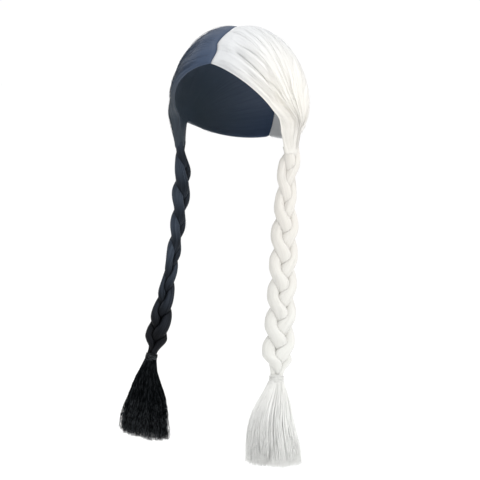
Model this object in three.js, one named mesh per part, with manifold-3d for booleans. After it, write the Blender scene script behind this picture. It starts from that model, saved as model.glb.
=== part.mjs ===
// Pigtail wig. Hair leaves a parting on the middle of the head in two halves, one dark and one
// white, sweeps over the sides and is gathered above each ear. Each gathered root goes on as a
// three-strand plait, held by a wound tie, below which the hair opens into a cut tuft.
// Millimetres, +Z up, face towards -Y, white half at +X.
// The origin is the inside top of the crown, where the top of the head sits.
import * as THREE from "three";
import { mergeVertices } from "three/addons/utils/BufferGeometryUtils.js";
import Module from "manifold-3d";

// Space between neighbouring pieces.
const GAP = 0.3;

// Head form that the hair lies on: width and length at its widest level, and how far it goes
// up to the crown and down to the nape from there.
const HEAD_WIDTH = 152;
const HEAD_LENGTH = 192;
const CROWN_HEIGHT = 96;
const NAPE_HEIGHT = 70;

// The parting runs over the middle of the head, from the forehead to the nape: degrees from the
// top of the head, forward negative.
const FOREHEAD_ANGLE = -55;
const NAPE_ANGLE = 124;

// Thickness of the laid hair at the parting, over the head, and at its edges. It swells from the
// parting, and from the head to the root, over these shares of the hair's way. Its edges are
// rounded by a power that falls from the parting to the root.
const PARTING_THICKNESS = 4.2;
const HAIR_THICKNESS = 7;
const EDGE_THICKNESS = 2.6;
const PARTING_SWELL = 0.16;
const ROOT_SWELL = 0.28;
const EDGE_POWER = { parting: 22, root: 2 };

// How far the parting sways to the white side, and its shape from forehead to nape as shares.
const PARTING_SWAY = 6.5;
const PARTING = [
  { along: 0, sway: 0.8 },
  { along: 0.05, sway: 1 },
  { along: 0.11, sway: 0.25 },
  { along: 0.19, sway: 0.3 },
  { along: 0.26, sway: -0.1 },
  { along: 0.4, sway: 0.05 },
  { along: 1, sway: 0 },
];

// The hair is gathered at the side: degrees round from the ear, forward negative, and degrees
// below the widest level. Hair from the front fills most of the root, by this power.
const GATHER_ROUND = -10;
const GATHER_BELOW = 13;
const GATHER_POWER = 0.45;

// Thickness of the hair at the gather, and its width there as a share of the root's width.
const GATHER_THICKNESS = 19;
const GATHER_WIDTH_SHARE = 1.1;

// The hair frames the face in a curve: how far its front edge rises from the straight way to the
// gather, two powers that shape the rise, and the share of the parting from which hair rises.
const FRONT_RISE = 9.7;
const FRONT_SKEW = 1.8;
const FRONT_FULLNESS = 0.4;
const FRONT_REACH = 0.35;

// From the gather the root turns down, at a share of the hair's way, and hangs this far. Its end
// is an oval, cut flat at the front and back by this many degrees to each side of its middle.
const ROOT_DROP = 31.5;
const TURN_AT = 0.84;
const TURN_SOFTNESS = 0.05;
const ROOT_ROUNDNESS = 72;

// Plait: how far it hangs, how far forward it comes, how fast it leaves the vertical, how far
// inwards it starts and over what share of its length, the share on which it narrows into the
// tie, the shares between which it turns its broad side, and how much shorter its lobes get
// towards the tie, as a share.
const PLAIT_DROP = 271;
const PLAIT_FORWARD = 58;
const PLAIT_BEND = 1.7;
const PLAIT_INWARD = 5.2;
const PLAIT_INWARD_BY = 0.15;
const PLAIT_TAPER = 0.07;
const PLAIT_TIGHTENING = 0.15;
const PLAIT_TURN = { from: 0.46, to: 0.66 };

// A strand's half-width as a share of the plait's width, its half-depth as a share of the
// plait's thickness, and the space between strands that press on each other as a share of the
// plait's width.
const STRAND_WIDTH_SHARE = 0.29;
const STRAND_DEPTH_SHARE = 0.36;
const STRAND_GAP_SHARE = 0.06;

// Girth of the plaits from root to tie, as a share of their full width.
const GIRTH = [
  { down: 0, dark: 0.64, white: 0.62 },
  { down: 0.06, dark: 0.74, white: 0.74 },
  { down: 0.18, dark: 1.08, white: 0.72 },
  { down: 0.38, dark: 0.88, white: 0.97 },
  { down: 0.6, dark: 0.7, white: 1 },
  { down: 0.88, dark: 1.17, white: 1.1 },
];

// Tie wound round the end of the plait.
const TIE_HEIGHT = 11;
const TIE_WALL = 1.8;
const TIE_THREAD = 0.8;
const TIE_TURNS = 4;
const TIE_SIDES = 16;

// Tuft: length from the middle of the tie, and how far it swings from the slope of the plait's
// end towards hanging straight. Its locks' half-width is a share of the tuft's width, and their
// depth, uneven cut and taper at the end, and the core's size, are shares too.
const TUFT_LENGTH = 104;
const TUFT_HANG = 1.3;
const TUFT_LOCKS = 9;
const LOCK_SHARE = 0.15;
const LOCK_FLATNESS = 0.8;
const LOCK_UNEVEN = 0.07;
const LOCK_TAPER = 0.15;
const CORE_SHARE = 0.62;
const CORE_STATIONS = [0.3, 0.6, 0.9];

// Folds in the laid hair run with it: at is where they leave the parting from forehead to nape,
// spread their half-width there, from and to their reach from parting to gather, and dark and
// white their depth in each half as a share of the hair's thickness.
const FOLDS = [
  { at: 0.03, spread: 0.014, from: 0.3, to: 0.6, dark: 0.1, white: 0.2 },
  { at: 0.088, spread: 0.02, from: 0.15, to: 0.95, dark: 0.25, white: 0.6 },
  { at: 0.137, spread: 0.018, from: 0.12, to: 0.48, dark: 0.1, white: 0.35 },
  { at: 0.26, spread: 0.03, from: 0.38, to: 0.75, dark: 0.25, white: 0.3 },
  { at: 0.53, spread: 0.045, from: 0.6, to: 1.1, dark: 0.35, white: 0.4 },
  { at: 0.8, spread: 0.05, from: 0.3, to: 1.1, dark: 0.3, white: 0.3 },
];
const FOLD_FADE = 0.12;

// Root, plait, tie and tuft of the white half. The dark one takes shares of them.
const ROOT_WIDTH = 26;
const ROOT_THICKNESS = 15;
const PLAIT_WIDTH = 36;
const PLAIT_THICKNESS = 27;
const PLAIT_OUTWARD = 17;
const TIE_RADIUS = 9;
const TUFT_WIDTH = 71;
const TUFT_THICKNESS = 36;

// The two halves. side is the way to the half's ear along X. facing is the way that the broad
// side of the plait looks, in degrees from straight ahead towards +X, at its top and its end.
// firstLobe is how far the first lobe has come at the root's end, as a share of a lobe.
// tuftFullness is a power that shapes how the tuft spreads, and tuftSway how far its middle
// swings aside towards +X.
const HALVES = [
  {
    name: "dark",
    side: -1,
    colour: 0x252935,
    tieColour: 0x1d2029,
    rootWidth: 0.68 * ROOT_WIDTH,
    rootThickness: 0.8 * ROOT_THICKNESS,
    plaitWidth: 0.72 * PLAIT_WIDTH,
    plaitThickness: 0.767 * PLAIT_THICKNESS,
    plaitOutward: 0.94 * PLAIT_OUTWARD,
    facing: { top: 102, end: 8 },
    lobes: 7.95,
    firstLobe: 0.785,
    tieRadius: 0.87 * TIE_RADIUS,
    tuftWidth: 0.985 * TUFT_WIDTH,
    tuftFullness: 0.95,
    tuftSway: 4,
  },
  {
    name: "white",
    side: 1,
    colour: 0xe7e7e9,
    tieColour: 0xdededf,
    rootWidth: ROOT_WIDTH,
    rootThickness: ROOT_THICKNESS,
    plaitWidth: PLAIT_WIDTH,
    plaitThickness: PLAIT_THICKNESS,
    plaitOutward: PLAIT_OUTWARD,
    facing: { top: 50, end: 45 },
    lobes: 7.68,
    firstLobe: 0.06,
    tieRadius: TIE_RADIUS,
    tuftWidth: TUFT_WIDTH,
    tuftFullness: 0.75,
    tuftSway: -4,
  },
];

// Fineness of the faceted solids.
const FLOW_ROWS = 15;
const FLOW_COLUMNS = 14;
const STRAND_SIDES = 8;
const STATIONS_PER_LOBE = 8;
const LOCK_SIDES = 6;
const LOCK_ROWS = 4;

const wasm = await Module();
wasm.setup();

const { lerp, smoothstep, degToRad, clamp } = THREE.MathUtils;

// Value of a table's column at a place along it, with smooth steps between its rows.
function tableValue(table, place, column, at) {
  const next = table.findIndex((row) => row[place] > at);
  if (next <= 0) return table.at(next)[column];
  const [low, high] = [table[next - 1], table[next]];
  return lerp(low[column], high[column], smoothstep(at, low[place], high[place]));
}

// Mesh geometry of corner points and faces, turned to face outwards, as one closed surface.
function closedGeometry(points, faces) {
  const corners = faces.flat();
  let volume = 0;
  for (const [a, b, c] of faces)
    volume += points[a].dot(new THREE.Vector3().crossVectors(points[b], points[c]));
  if (volume < 0) corners.reverse();
  const geometry = new THREE.BufferGeometry().setFromPoints(points);
  geometry.setIndex(corners);
  geometry.computeVertexNormals();
  return geometry;
}

// Solid through rings of equally many points, whose two ends are closed by the given faces.
function loft(rings, endFaces) {
  const count = rings[0].length;
  const faces = [];
  for (let row = 0; row + 1 < rings.length; row++)
    for (let i = 0; i < count; i++) {
      const a = row * count + i;
      const b = row * count + ((i + 1) % count);
      faces.push([a, b, a + count], [b, b + count, a + count]);
    }
  const last = (rings.length - 1) * count;
  for (const [a, b, c] of endFaces) faces.push([a, c, b], [last + a, last + b, last + c]);
  return closedGeometry(rings.flat(), faces);
}

// Faces over a ring of points, from its first point.
function fanFaces(count) {
  return Array.from({ length: count - 2 }, (_, i) => [0, i + 1, i + 2]);
}

// Faces over a ring that runs along one side and back along the other.
function stripFaces(run) {
  const faces = [];
  for (let i = 0; i + 1 < run; i++) {
    const back = 2 * run - 1 - i;
    faces.push([i, i + 1, back], [i + 1, back - 1, back]);
  }
  return faces;
}

// One solid out of several that overlap.
function joined(geometries) {
  const solids = geometries.map(
    (geometry) =>
      new wasm.Manifold(
        new wasm.Mesh({
          numProp: 3,
          vertProperties: geometry.attributes.position.array,
          triVerts: new Uint32Array(geometry.index.array),
        }),
      ),
  );
  const whole = solids.reduce((sum, solid) => sum.add(solid));
  const { vertProperties, triVerts } = whole.getMesh();
  const geometry = new THREE.BufferGeometry();
  geometry.setAttribute("position", new THREE.BufferAttribute(vertProperties, 3));
  geometry.setIndex(new THREE.BufferAttribute(triVerts, 1));
  geometry.computeVertexNormals();
  return geometry;
}

// Point at a lift above the head form, in a direction from the middle of its widest level.
function onHead(direction, lift) {
  const height = direction.z < 0 ? NAPE_HEIGHT : CROWN_HEIGHT;
  const axes = new THREE.Vector3(HEAD_WIDTH / 2, HEAD_LENGTH / 2, height);
  const normal = direction.clone().divide(axes).normalize();
  const point = direction.clone().multiply(axes).addScaledVector(normal, lift);
  point.z -= CROWN_HEIGHT;
  return point;
}

// Unit direction part of the way round the great circle from one direction to another.
function between(from, to, share) {
  const angle = from.angleTo(to);
  return from
    .clone()
    .multiplyScalar(Math.sin((1 - share) * angle) / Math.sin(angle))
    .addScaledVector(to, Math.sin(share * angle) / Math.sin(angle));
}

// Direction of the parting beside a half, a share of the way from forehead to nape.
function partingDirection(half, along) {
  const angle = degToRad(lerp(FOREHEAD_ANGLE, NAPE_ANGLE, along));
  const sway = PARTING_SWAY * tableValue(PARTING, "along", "sway", along);
  const aside = (sway + (half.side * GAP) / 2) / (HEAD_WIDTH / 2);
  return new THREE.Vector3(aside, Math.sin(angle), Math.cos(angle)).normalize();
}

// Direction of the laid hair part of the way from the parting to the gather. Near the face it
// rises from the straight way between them.
function flowDirection(half, along, over) {
  const start = partingDirection(half, along);
  const end = gatherDirection(half, gathered(along));
  const rising = new THREE.Vector3().crossVectors(start, end).normalize();
  if (rising.z < 0) rising.negate();
  const rise = Math.sin(Math.PI * over ** FRONT_SKEW) ** FRONT_FULLNESS;
  const reach = 1 - smoothstep(along, 0, FRONT_REACH);
  const share = (FRONT_RISE / (HEAD_LENGTH / 2)) * rise * reach;
  return between(start, end, over).addScaledVector(rising, share).normalize();
}

// Share of the root's width, from front to back, that hair from this share of the parting takes.
function gathered(along) {
  return along ** GATHER_POWER;
}

// Direction of the gather, a share of the way from its front to its back.
function gatherDirection(half, share) {
  const width = half.rootWidth * GATHER_WIDTH_SHARE;
  const round = degToRad(GATHER_ROUND) + (share - 0.5) * (width / (HEAD_LENGTH / 2));
  const below = degToRad(GATHER_BELOW);
  return new THREE.Vector3(
    half.side * Math.cos(below) * Math.cos(round),
    Math.cos(below) * Math.sin(round),
    -Math.sin(below),
  );
}

// Middle of the flat face where the gathered root ends.
function rootEnd(half) {
  const middle = gatherDirection(half, 0.5);
  const end = onHead(middle, half.rootThickness / 2);
  end.z = onHead(middle, 0).z - ROOT_DROP;
  return end;
}

// Corner of that face, on the outer or the inner half of its oval.
function rootEndPoint(half, share, outer) {
  const turn = (2 * share - 1) * degToRad(ROOT_ROUNDNESS);
  const out = half.side * (outer ? 1 : -1) * Math.cos(turn);
  const end = rootEnd(half);
  end.x += (out * half.rootThickness) / 2;
  end.y += (Math.sin(turn) * half.rootWidth) / 2;
  return end;
}

// How deep the folds are at a place in the laid hair.
function foldDepth(half, along, way) {
  let depth = 0;
  for (const { at, spread, from, to, [half.name]: share } of FOLDS) {
    const across = Math.exp(-(((along - at) / spread) ** 2));
    const starts = smoothstep(way, from, from + FOLD_FADE);
    const ends = 1 - smoothstep(way, to - FOLD_FADE, to);
    depth += share * HAIR_THICKNESS * across * starts * ends;
  }
  return depth;
}

// Thickness of the laid hair: it grows from the parting, gathers towards the root, and is
// rounded off at the edges, sharply on the head and fully at the root.
function hairThickness(half, along, way) {
  const laid = lerp(PARTING_THICKNESS, HAIR_THICKNESS, smoothstep(way, 0, PARTING_SWELL));
  const swollen = lerp(laid, GATHER_THICKNESS, smoothstep(way, 1 - ROOT_SWELL, 1));
  const share = lerp(along, gathered(along), smoothstep(way, 0, 1));
  const power = lerp(EDGE_POWER.parting, EDGE_POWER.root, smoothstep(way, 0, 1));
  const across = Math.sqrt(1 - Math.abs(2 * share - 1) ** power);
  return lerp(EDGE_THICKNESS, swollen - foldDepth(half, along, way), across);
}

// Point on the outer or inner side of a half: along is the share from the edge at the face to
// the edge at the nape, way the share of the hair's way from the parting to the root's end. The
// way follows the head, then turns down softly into the root.
function hairPoint(half, along, way, outer) {
  const turning = clamp(way - TURN_AT + TURN_SOFTNESS, 0, 2 * TURN_SOFTNESS);
  const hung = turning ** 2 / (4 * TURN_SOFTNESS) + Math.max(way - TURN_AT - TURN_SOFTNESS, 0);
  const over = Math.min((way - hung) / TURN_AT, 1);
  const share = gathered(along);
  const thickness = outer ? hairThickness(half, along, over) : 0;
  const laid = onHead(flowDirection(half, along, over), thickness);
  return laid.lerp(rootEndPoint(half, share, outer), hung / (1 - TURN_AT));
}

// Shares from face to nape at which both halves are drawn: closer together towards the face, and
// at the bottom and the two sides of each fold. Even ones next to those are left out.
function flowColumns() {
  const creases = FOLDS.flatMap(({ at, spread }) => [at - spread, at, at + spread]);
  const even = Array.from({ length: FLOW_COLUMNS + 1 }, (_, i) => (i / FLOW_COLUMNS) ** 1.5);
  const nearest = 1 / FLOW_COLUMNS / 4;
  const clear = even.filter((share) => creases.every((at) => Math.abs(at - share) > nearest));
  return [...clear, ...creases].sort((a, b) => a - b);
}

// One half of the laid hair, from the parting to the end of its gathered root.
function hairHalf(half) {
  const columns = flowColumns();
  const rings = [];
  for (let row = 0; row <= FLOW_ROWS; row++) {
    const way = row / FLOW_ROWS;
    const outer = columns.map((along) => hairPoint(half, along, way, true));
    const inner = columns.map((along) => hairPoint(half, along, way, false));
    rings.push([...outer, ...inner.reverse()]);
  }
  return loft(rings, stripFaces(columns.length));
}

// Middle of the plait, a share of the way down it. It starts just under the root's end.
function plaitMiddle(half, down) {
  const bent = down ** PLAIT_BEND;
  const inward = PLAIT_INWARD * smoothstep(down, 0, PLAIT_INWARD_BY);
  const middle = rootEnd(half);
  middle.x += half.side * (half.plaitOutward * bent - inward);
  middle.y -= PLAIT_FORWARD * bent;
  middle.z -= GAP + PLAIT_DROP * down;
  return middle;
}

// Frame across a hanging piece: the way down it, the way out of its broad side and the way
// across that side.
function hangingFrame(middle, tangent, facing) {
  const turn = degToRad(facing);
  const out = new THREE.Vector3(Math.sin(turn), -Math.cos(turn), 0);
  out.addScaledVector(tangent, -out.dot(tangent)).normalize();
  const across = new THREE.Vector3().crossVectors(tangent, out);
  const point = (x, y) => middle.clone().addScaledVector(across, x).addScaledVector(out, y);
  return { middle, tangent, point };
}

// Frame of the plait. It hangs straight down under the root.
function plaitFrame(half, down) {
  const step = 1e-3;
  const tangent = new THREE.Vector3(0, 0, -1);
  if (down > 0)
    tangent.subVectors(plaitMiddle(half, down + step), plaitMiddle(half, down - step)).normalize();
  const turned = smoothstep(down, PLAIT_TURN.from, PLAIT_TURN.to);
  const facing = lerp(half.facing.top, half.facing.end, turned);
  return hangingFrame(plaitMiddle(half, down), tangent, facing);
}

// Radius of the hair inside the tie, whose faceted bore is a little tighter than its radius.
function boundRadius(half) {
  return (half.tieRadius - TIE_WALL) * Math.cos(Math.PI / TIE_SIDES) - GAP;
}

// Length of plait or tuft from the middle of the tie to just past its edge.
const GRIP_LENGTH = TIE_HEIGHT / 2 + 3 * GAP;

// Share of the way down the plait at which the tie grips it.
const TIE_START = 1 - GRIP_LENGTH / PLAIT_DROP;

// Girth of the plait against its full width. It narrows into the tie.
function plaitGirth(half, down) {
  const free = tableValue(GIRTH, "down", half.name, down);
  const bound = boundRadius(half) / (half.plaitWidth / 2);
  return lerp(free, bound, smoothstep(down, TIE_START - PLAIT_TAPER, TIE_START));
}

// Share of its lobes that the plait has passed, a share of the way down it.
function passedAt(down) {
  return down + PLAIT_TIGHTENING * down * (down - 1);
}

// Share of the way down the plait at which it has passed a share of its lobes.
function downAt(passed) {
  const slow = 1 - PLAIT_TIGHTENING;
  return (Math.sqrt(slow ** 2 + 4 * PLAIT_TIGHTENING * passed) - slow) / (2 * PLAIT_TIGHTENING);
}

// Middle of a strand in the plait's section. Going down it passes in front from an edge to the
// middle, and behind on its way out to the other edge.
function strandMiddle(half, strand, down) {
  const sideways = half.plaitWidth * (0.5 - STRAND_WIDTH_SHARE);
  const inDepth = half.plaitThickness * (0.5 - STRAND_DEPTH_SHARE);
  const phase = ((2 * Math.PI) / 3) * (half.lobes * passedAt(down) + strand + half.firstLobe);
  const girth = plaitGirth(half, down);
  return new THREE.Vector2(
    sideways * Math.sin(phase) * girth,
    -inDepth * Math.sin(2 * phase) * girth,
  );
}

// Section of one strand: an oval, pressed flat halfway to each of the other two strands and kept
// in the round that holds the whole plait.
function strandSection(half, strand, down) {
  const frame = plaitFrame(half, down);
  const girth = plaitGirth(half, down);
  const own = strandMiddle(half, strand, down);
  const round = (half.plaitWidth / 2) * girth;
  const halfWidth = half.plaitWidth * STRAND_WIDTH_SHARE * girth;
  const halfDepth = half.plaitThickness * STRAND_DEPTH_SHARE * girth;
  const gap = half.plaitWidth * STRAND_GAP_SHARE;
  const ring = [];
  for (let i = 0; i < STRAND_SIDES; i++) {
    const turn = (2 * Math.PI * i) / STRAND_SIDES;
    const way = new THREE.Vector2(Math.cos(turn), Math.sin(turn));
    const flatness = Math.hypot(way.x / halfWidth, way.y / halfDepth);
    const along = own.dot(way);
    const inRound = Math.sqrt(along ** 2 + round ** 2 - own.lengthSq()) - along;
    let reach = Math.min(1 / flatness, inRound);
    for (const other of [1, 2]) {
      const apart = strandMiddle(half, strand + other, down).sub(own);
      const facing = way.dot(apart) / apart.length();
      if (facing > 0) reach = Math.min(reach, (apart.length() - gap) / 2 / facing);
    }
    ring.push(frame.point(own.x + way.x * reach, own.y + way.y * reach));
  }
  return ring;
}

// One strand of a plait, from the root's end to the middle of the tie.
function plaitStrand(half, strand) {
  const count = Math.round(half.lobes * STATIONS_PER_LOBE);
  const passed = passedAt(TIE_START);
  const rings = [];
  for (let i = 0; i <= count; i++)
    rings.push(strandSection(half, strand, downAt((passed * i) / count)));
  rings.push(strandSection(half, strand, 1));
  return loft(rings, fanFaces(STRAND_SIDES));
}

// Middle of the tuft, a share of the way from the middle of the tie to the cut ends. It
// leaves along the plait's end and bends towards hanging straight.
function tuftFrame(half, down) {
  const { middle, tangent } = plaitFrame(half, 1);
  const straight = new THREE.Vector3(0, 0, -1);
  const turned = (TUFT_HANG * down ** 2) / 2;
  const reached = middle
    .clone()
    .addScaledVector(tangent, GAP / 2 + TUFT_LENGTH * (down - turned))
    .addScaledVector(straight, TUFT_LENGTH * turned);
  reached.x += half.tuftSway * Math.sin(Math.PI * down) ** 3;
  const slope = tangent.clone().lerp(straight, TUFT_HANG * down).normalize();
  return hangingFrame(reached, slope, half.facing.end);
}

// Oval ring of points in a frame, round a place in it.
function ovalRing(frame, x, y, halfWidth, halfDepth, sides) {
  return Array.from({ length: sides }, (_, i) => {
    const turn = (2 * Math.PI * i) / sides;
    return frame.point(x + halfWidth * Math.cos(turn), y + halfDepth * Math.sin(turn));
  });
}

// Share of its full spread that the tuft has reached, a share of the way down it.
function tuftSpread(half, down) {
  return Math.sin((down ** half.tuftFullness * Math.PI) / 2);
}

// Core of the tuft, whose round head sits in the lower part of the tie.
function tuftCore(half) {
  const bound = boundRadius(half);
  const grip = GRIP_LENGTH / TUFT_LENGTH;
  const rings = [GAP / 2 / TUFT_LENGTH, grip, ...CORE_STATIONS].map((down) => {
    const spread = tuftSpread(half, Math.max(down - grip, 0));
    const width = lerp(bound, (half.tuftWidth / 2) * CORE_SHARE, spread);
    const depth = lerp(bound, (TUFT_THICKNESS / 2) * CORE_SHARE, spread);
    return ovalRing(tuftFrame(half, down), 0, 0, width, depth, 2 * LOCK_SIDES);
  });
  return loft(rings, fanFaces(2 * LOCK_SIDES));
}

// One lock of the tuft. It leaves the head below the tie, spreads and ends cut blunt.
function tuftLock(half, lock) {
  const turn = (2 * Math.PI * (lock + 0.5)) / TUFT_LOCKS;
  const bound = boundRadius(half);
  const start = (GRIP_LENGTH + GAP) / TUFT_LENGTH;
  const end = 1 - LOCK_UNEVEN * Math.abs(Math.sin(2.3 * lock));
  const thick = half.tuftWidth * LOCK_SHARE;
  const thin = bound / 2;
  const rings = [];
  for (let row = 0; row <= LOCK_ROWS; row++) {
    const share = row / LOCK_ROWS;
    const spread = tuftSpread(half, share);
    const width = lerp(thin, thick, spread) * (1 - LOCK_TAPER * share ** 4);
    const depth = width * LOCK_FLATNESS;
    const x = Math.cos(turn) * lerp(thin, half.tuftWidth / 2 - thick, spread);
    const y = Math.sin(turn) * lerp(thin, TUFT_THICKNESS / 2 - thick * LOCK_FLATNESS, spread);
    rings.push(ovalRing(tuftFrame(half, lerp(start, end, share)), x, y, width, depth, LOCK_SIDES));
  }
  return loft(rings, fanFaces(LOCK_SIDES));
}

// The whole tuft.
function tuftEnd(half) {
  const locks = Array.from({ length: TUFT_LOCKS }, (_, lock) => tuftLock(half, lock));
  return joined([tuftCore(half), ...locks]);
}

// Tie, as the turns of a thread wound round the middle of its own height.
function tieBand(half) {
  const profile = [];
  for (let i = 0; i <= 2 * TIE_TURNS; i++) {
    const dip = i % 2 ? 0 : TIE_THREAD;
    profile.push(new THREE.Vector2(half.tieRadius - dip, TIE_HEIGHT * (i / (2 * TIE_TURNS) - 0.5)));
  }
  const inner = half.tieRadius - TIE_WALL;
  profile.push(new THREE.Vector2(inner, TIE_HEIGHT / 2), new THREE.Vector2(inner, -TIE_HEIGHT / 2));
  profile.push(profile[0].clone());
  const band = new THREE.LatheGeometry(profile, TIE_SIDES);
  band.deleteAttribute("normal");
  band.deleteAttribute("uv");
  const closed = mergeVertices(band);
  closed.computeVertexNormals();
  return closed;
}

const group = new THREE.Group();

// Adds a named piece.
function add(name, geometry, colour, roughness) {
  const material = new THREE.MeshStandardMaterial({ color: colour, roughness, metalness: 0 });
  const mesh = new THREE.Mesh(geometry, material);
  mesh.name = name;
  group.add(mesh);
  return mesh;
}

for (const half of HALVES) {
  add(`hair_${half.name}`, hairHalf(half), half.colour, 0.5);
  for (const strand of [0, 1, 2])
    add(`strand_${half.name}_${strand + 1}`, plaitStrand(half, strand), half.colour, 0.5);
  add(`tuft_${half.name}`, tuftEnd(half), half.colour, 0.55);
  const tie = add(`tie_${half.name}`, tieBand(half), half.tieColour, 0.7);
  const { middle, tangent } = plaitFrame(half, 1);
  tie.position.copy(middle).addScaledVector(tangent, GAP / 2);
  tie.quaternion.setFromUnitVectors(new THREE.Vector3(0, 1, 0), tangent);
}

export default group;
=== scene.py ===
import bpy
import numpy as np
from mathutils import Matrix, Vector


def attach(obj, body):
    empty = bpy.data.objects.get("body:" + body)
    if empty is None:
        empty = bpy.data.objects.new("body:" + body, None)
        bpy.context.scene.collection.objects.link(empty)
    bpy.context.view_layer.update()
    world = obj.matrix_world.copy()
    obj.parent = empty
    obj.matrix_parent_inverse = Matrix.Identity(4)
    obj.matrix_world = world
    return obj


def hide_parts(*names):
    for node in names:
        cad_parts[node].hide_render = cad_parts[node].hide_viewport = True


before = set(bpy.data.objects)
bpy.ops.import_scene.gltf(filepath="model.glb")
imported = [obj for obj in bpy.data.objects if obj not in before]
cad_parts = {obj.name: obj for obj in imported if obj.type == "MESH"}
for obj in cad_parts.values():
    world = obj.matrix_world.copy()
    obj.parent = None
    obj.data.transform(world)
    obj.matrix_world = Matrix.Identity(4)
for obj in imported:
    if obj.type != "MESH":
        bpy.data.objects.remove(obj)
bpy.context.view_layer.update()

MM = 0.001

# Head form, parting and thickness of the laid hair.
GAP = 0.3
HEAD_WIDTH, HEAD_LENGTH, CROWN_HEIGHT, NAPE_HEIGHT = 152, 192, 96, 70
FOREHEAD_ANGLE, NAPE_ANGLE = -55, 124
PARTING_THICKNESS, HAIR_THICKNESS, EDGE_THICKNESS = 4.2, 7, 2.6
PARTING_SWELL, ROOT_SWELL = 0.16, 0.28
EDGE_POWER = {"parting": 22, "root": 2}
PARTING_SWAY = 6.5
PARTING_PLACES = [0, 0.05, 0.11, 0.19, 0.26, 0.4, 1]
PARTING_SWAYS = [0.8, 1, 0.25, 0.3, -0.1, 0.05, 0]

# Gather and root.
GATHER_ROUND, GATHER_BELOW, GATHER_POWER = -10, 13, 0.45
GATHER_THICKNESS, GATHER_WIDTH_SHARE = 19, 1.1
ROOT_DROP, TURN_AT, TURN_SOFTNESS, ROOT_ROUNDNESS = 31.5, 0.84, 0.05, 72

# How far the front edge rises from the straight way to the gather, and its shape.
FRONT_RISE, FRONT_SKEW, FRONT_FULLNESS, FRONT_REACH = 9.7, 1.8, 0.4, 0.35

# Plait, its strands, and its girth from root to tie. It turns to its second facing over
# PLAIT_TURN, and its crossings come closer together on the way down.
PLAIT_DROP, PLAIT_FORWARD, PLAIT_BEND = 271, 58, 1.7
PLAIT_INWARD, PLAIT_INWARD_BY, PLAIT_TAPER = 5.2, 0.15, 0.07
PLAIT_TURN, PLAIT_TIGHTENING = (0.46, 0.66), 0.15
STRAND_WIDTH_SHARE, STRAND_DEPTH_SHARE = 0.27, 0.36
STRAND_REACH_SHARE = 0.27
GIRTH_PLACES = [0, 0.06, 0.18, 0.38, 0.6, 0.88]

# Tie and tuft.
TIE_HEIGHT, TIE_THREAD = 11, 0.9
TUFT_LENGTH, TUFT_HANG, TUFT_THICKNESS = 104, 1.3, 36
GRIP_LENGTH = TIE_HEIGHT / 2 + 3 * GAP
TIE_START = 1 - GRIP_LENGTH / PLAIT_DROP

# Folds in the laid hair: place and half-width at the parting, start and end on the way to the
# gather, and depth in each half as a share of HAIR_THICKNESS.
FOLDS = [
    {"at": 0.03, "spread": 0.014, "start": 0.3, "end": 0.6, "dark": 0.1, "white": 0.2},
    {"at": 0.088, "spread": 0.02, "start": 0.15, "end": 0.95, "dark": 0.25, "white": 0.6},
    {"at": 0.137, "spread": 0.018, "start": 0.12, "end": 0.48, "dark": 0.1, "white": 0.35},
    {"at": 0.26, "spread": 0.03, "start": 0.38, "end": 0.75, "dark": 0.25, "white": 0.3},
    {"at": 0.53, "spread": 0.045, "start": 0.6, "end": 1.1, "dark": 0.35, "white": 0.4},
    {"at": 0.8, "spread": 0.05, "start": 0.3, "end": 1.1, "dark": 0.3, "white": 0.3},
]
FOLD_FADE = 0.12

# The hair dips to this share of its thickness along the parting, over this share of its way.
PARTING_DIP, PARTING_DIP_WIDTH = 0.35, 0.035

# Painted shade: how much darker a dip of one millimetre is painted in creases and in the relief,
# how much darker the root is painted than the rest, and where on the way that begins and ends.
CREASE_SHADE, RELIEF_SHADE, ROOT_SHADE = 0.16, 0.15, 0.14
ROOT_DARKENS = (0.76, 0.95)

# How far the root's end reaches down between the strands, in mm, by shares.
ROOT_TONGUE, TONGUE_POWER = 10, 2.2
TONGUE_SHARES = (0.15, 0.3, 0.45, 0.6, 0.75, 0.88, 0.97)

# How far strands reach into the root, as a share of the plait.
STRAND_IN_ROOT = 0.012

# Size of the fibre pattern in mm: over and along the laid hair, round a strand, a thread and a
# tuft's core. Each loose hair of a tuft has its own place in a pattern of this width.
FLOW_WIDTH, FLOW_LENGTH = 300, 190
STRAND_FIBRES, THREAD_FIBRES, CORE_FIBRES, TUFT_TONES = 60, 8, 200, 300

# The two halves. Widths, thicknesses, plait_outward, press, tie_radius and tuft_sway are in mm,
# facing and lateness in degrees, lobes and first_lobe in crossings, the rest shares and powers.
DARK = {
    "name": "dark",
    "side": -1,
    "root_width": 17.7,
    "root_thickness": 12,
    "plait_width": 25.92,
    "plait_thickness": 20.7,
    "plait_outward": 16,
    "facing": (102, 8),
    "lobes": 7.95,
    "slant": 0,
    "lateness": 0,
    "first_lobe": 0.785,
    "press": 0.5,
    # Painted shade in the grooves, and painted light on strands where they come out on top.
    "groove_shade": 0.85,
    "tip_light_and_shade": 0.5,
    "relief": 0.9,
    "girth": [0.64, 0.74, 1.08, 0.88, 0.7, 1.17],
    "tie_radius": 7.83,
    "tuft_width": 69.9,
    "tuft_fullness": 0.95,
    "tuft_sway": 4,
    "tuft_pull": 0.6,
    # Painted shade on the tuft beside its furrow.
    "tuft_painted_shade": 0,
    "tuft_fray": 0.035,
    "tuft_wave": 0.075,
    "furrow": 0,
}
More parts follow.
